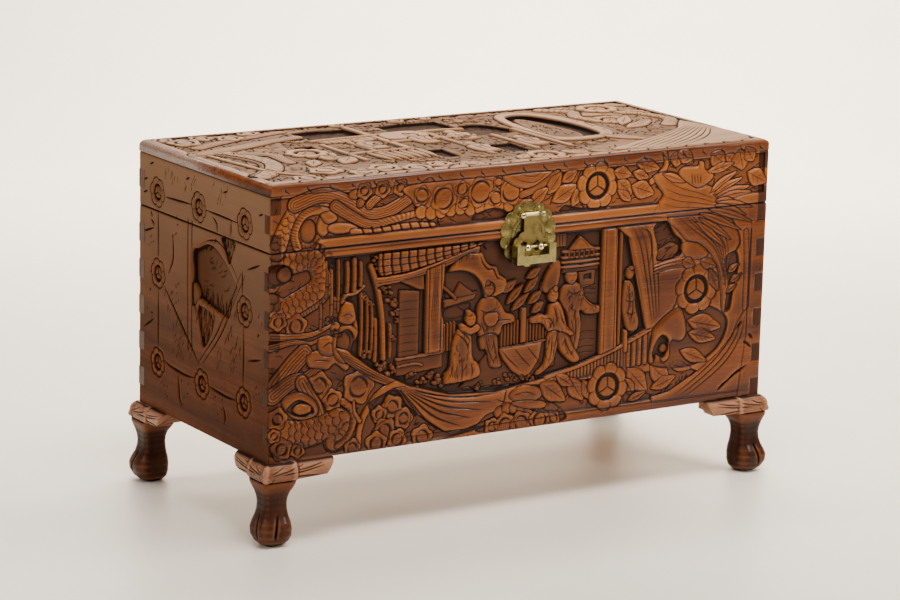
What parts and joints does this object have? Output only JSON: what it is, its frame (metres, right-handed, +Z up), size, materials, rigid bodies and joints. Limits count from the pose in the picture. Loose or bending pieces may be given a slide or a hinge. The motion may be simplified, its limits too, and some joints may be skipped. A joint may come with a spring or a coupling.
{
  "type": "storage chest",
  "caption": "Carved wooden storage chest with a hinged flat lid, short cabriole legs, corner brackets and a lobed brass plate with hasp and bar padlock.",
  "frame": {"origin": "on the floor, under the middle of the whole chest's box", "axes": "+X along the front to the viewer's right, -Y out of the carved front, +Z up"},
  "size_m": [1.026, 0.5034, 0.5964],
  "materials": {
    "front_wood": "glossy varnish over deep carving, near-black in the cuts",
    "side_wood": "satin varnish with cut lines",
    "top_wood": "worn satin varnish over carving",
    "back_wood": "plain satin varnish",
    "leg_wood": "dark glossy varnish",
    "bracket_wood": "satin varnish over carving",
    "inner_wood": "bare wood",
    "brass": "aged satin brass",
    "steel": "dull"
  },
  "bodies": {
    "chest": {"front_board": "front_wood", "back_board": "back_wood", "left_end_board": "side_wood", "right_end_board": "side_wood", "bottom_plank_front": "inner_wood", "bottom_plank_middle": "inner_wood", "bottom_plank_back": "inner_wood", "bottom_nails": "steel", "leg_front_left": "leg_wood", "leg_front_right": "leg_wood", "leg_back_left": "leg_wood", "leg_back_right": "leg_wood", "bracket_front_left": "bracket_wood", "bracket_front_right": "bracket_wood", "bracket_back_left": "bracket_wood", "bracket_back_right": "bracket_wood", "bracket_left_front": "bracket_wood", "bracket_left_back": "bracket_wood", "bracket_right_front": "bracket_wood", "bracket_right_back": "bracket_wood", "glue_blocks_front_left": "inner_wood", "glue_blocks_front_right": "inner_wood", "glue_blocks_back_left": "inner_wood", "glue_blocks_back_right": "inner_wood", "leg_screws": "steel", "hinge_body_leaf_left": "brass", "hinge_body_leaf_right": "brass", "hinge_pin_left": "brass", "hinge_pin_right": "brass", "hinge_body_screws": "steel", "lock_plate_lower": "brass", "lock_plate_lower_nails": "brass", "ring_post_left": "brass", "ring_post_right": "brass"},
    "lid": {"lid_top_board": "top_wood", "lid_front_rim": "front_wood", "lid_back_rim": "back_wood", "lid_left_rim": "side_wood", "lid_right_rim": "side_wood", "hinge_lid_leaf_left": "brass", "hinge_lid_leaf_right": "brass", "hinge_lid_screws": "steel", "lock_plate_upper": "brass", "lock_plate_upper_nails": "brass", "hasp_post_left": "brass", "hasp_post_right": "brass", "hasp_pin": "brass"},
    "hasp": {"hasp": "brass"},
    "padlock": {"padlock_body": "brass"},
    "padlock_bolt": {"padlock_bolt": "brass", "padlock_springs": "steel"}
  },
  "joints": [
    {"name": "lid_hinge", "type": "hinge", "parent": "chest", "child": "lid", "pos_m": [0, 0.23805, 0.4844], "axis": [-1, 0, 0], "range_deg": [0, 95]},
    {"name": "padlock_off", "type": "slide", "parent": "chest", "child": "padlock", "axis": [0, -1, 0], "range_m": [0, 0.25]},
    {"name": "hasp_swing", "type": "hinge", "parent": "lid", "child": "hasp", "pos_m": [-0.005, -0.23235, 0.5084], "axis": [-1, 0, 0], "range_deg": [0, 165]},
    {"name": "padlock_bolt_slide", "type": "slide", "parent": "padlock", "child": "padlock_bolt", "axis": [1, 0, 0], "range_m": [0, 0.05]}
  ],
  "couplings": [
    {"joint": "hasp_swing", "follows": "padlock_off", "rad_per_m": 11.5}
  ]
}
